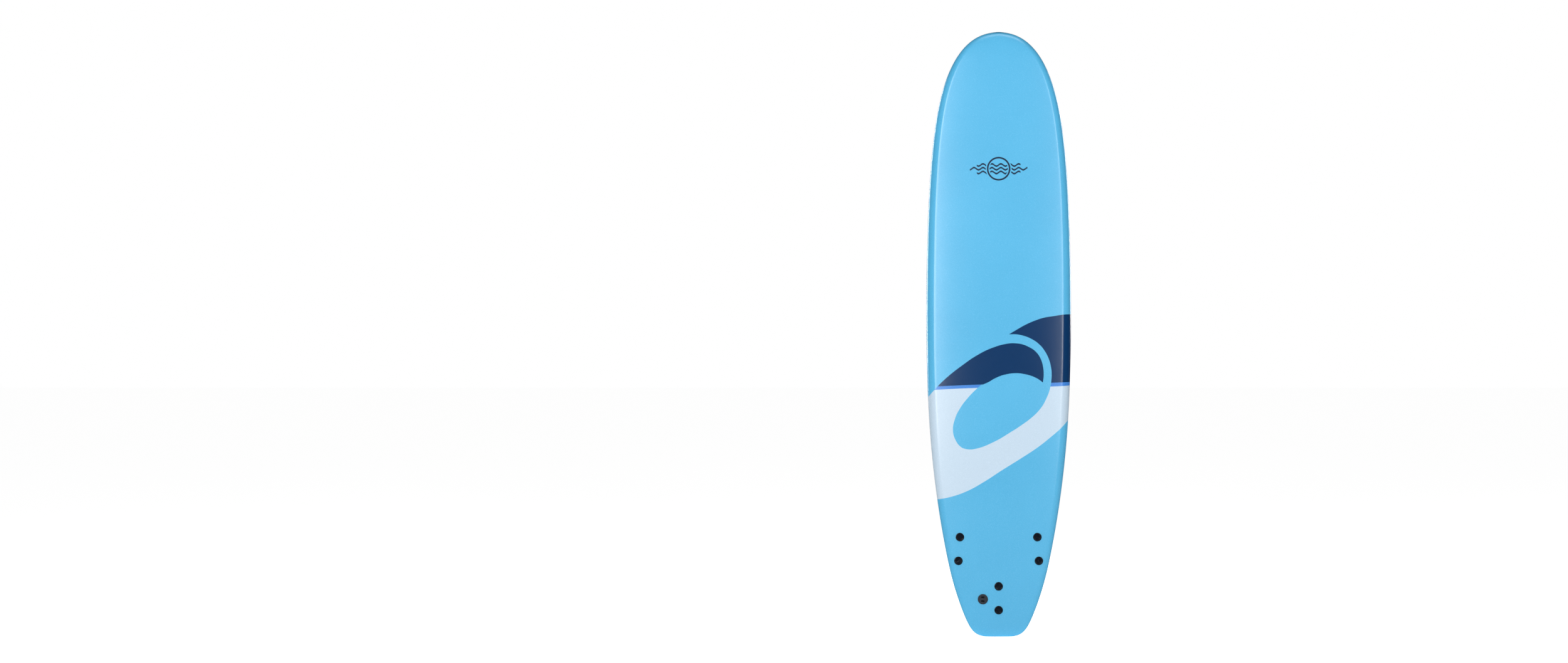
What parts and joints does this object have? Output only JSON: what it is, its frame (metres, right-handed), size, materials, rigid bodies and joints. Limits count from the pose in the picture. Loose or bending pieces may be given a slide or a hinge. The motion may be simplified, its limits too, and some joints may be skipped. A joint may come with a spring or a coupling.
{
  "type": "longboard surfboard",
  "caption": "Soft-top longboard surfboard with a foam deck, slick bottom, stringers, removable bolt-through fins and a leash plug.",
  "frame": {"origin": "the middle of the flat end of the tail", "axes": "+Z from the tail to the nose, the deck faces -Y, the bottom and the fins face +Y, +X across the board"},
  "size_m": [0.587, 0.2379, 2.4384],
  "materials": {
    "deck_foam": "closed-cell foam with a fine grain, printed in light blue, navy and pale blue",
    "bottom_sheet": "smooth white sheet with printed blue and navy bands",
    "core_foam": "expanded polystyrene",
    "stringer_wood": "plain ply",
    "fin_plastic": "glossy black moulded plastic",
    "sleeve_plastic": "moulded plastic",
    "plug_plastic": "matte dark grey moulded plastic"
  },
  "bodies": {
    "board": {"core_left_rail": "core_foam", "core_left": "core_foam", "core_right": "core_foam", "core_right_rail": "core_foam", "stringer_left": "stringer_wood", "stringer_centre": "stringer_wood", "stringer_right": "stringer_wood", "deck_skin": "deck_foam", "bottom_slick": "bottom_sheet", "leash_plug_cup": "plug_plastic", "fin_sleeve_left_front": "sleeve_plastic", "fin_sleeve_left_rear": "sleeve_plastic", "fin_sleeve_right_front": "sleeve_plastic", "fin_sleeve_right_rear": "sleeve_plastic", "fin_sleeve_centre_front": "sleeve_plastic", "fin_sleeve_centre_rear": "sleeve_plastic"},
    "fin_left": {"fin_left": "fin_plastic"},
    "fin_right": {"fin_right": "fin_plastic"},
    "fin_centre": {"fin_centre": "fin_plastic"},
    "fin_screw_left_front": {"fin_screw_left_front": "fin_plastic"},
    "fin_screw_left_rear": {"fin_screw_left_rear": "fin_plastic"},
    "fin_screw_right_front": {"fin_screw_right_front": "fin_plastic"},
    "fin_screw_right_rear": {"fin_screw_right_rear": "fin_plastic"},
    "fin_screw_centre_front": {"fin_screw_centre_front": "fin_plastic"},
    "fin_screw_centre_rear": {"fin_screw_centre_rear": "fin_plastic"},
    "leash_plug_screw": {"leash_plug_screw": "plug_plastic"}
  },
  "joints": [
    {"name": "fin_left_slide", "type": "slide", "parent": "board", "child": "fin_left", "axis": [0, 0.998, -0.0635], "range_m": [0, 0.054]},
    {"name": "fin_right_slide", "type": "slide", "parent": "board", "child": "fin_right", "axis": [0, 0.998, -0.0635], "range_m": [0, 0.054]},
    {"name": "fin_centre_slide", "type": "slide", "parent": "board", "child": "fin_centre", "axis": [0, 0.9965, -0.0832], "range_m": [0, 0.044]},
    {"name": "fin_screw_left_front_slide", "type": "slide", "parent": "board", "child": "fin_screw_left_front", "axis": [0, -0.998, 0.0635], "range_m": [0, 0.034]},
    {"name": "fin_screw_left_rear_slide", "type": "slide", "parent": "board", "child": "fin_screw_left_rear", "axis": [0, -0.998, 0.0635], "range_m": [0, 0.034]},
    {"name": "fin_screw_right_front_slide", "type": "slide", "parent": "board", "child": "fin_screw_right_front", "axis": [0, -0.998, 0.0635], "range_m": [0, 0.034]},
    {"name": "fin_screw_right_rear_slide", "type": "slide", "parent": "board", "child": "fin_screw_right_rear", "axis": [0, -0.998, 0.0635], "range_m": [0, 0.034]},
    {"name": "fin_screw_centre_front_slide", "type": "slide", "parent": "board", "child": "fin_screw_centre_front", "axis": [0, -0.9965, 0.0832], "range_m": [0, 0.034]},
    {"name": "fin_screw_centre_rear_slide", "type": "slide", "parent": "board", "child": "fin_screw_centre_rear", "axis": [0, -0.9965, 0.0832], "range_m": [0, 0.034]},
    {"name": "leash_plug_screw_slide", "type": "slide", "parent": "board", "child": "leash_plug_screw", "axis": [0.0135, 0.9992, -0.0385], "range_m": [0, 0.023]}
  ]
}
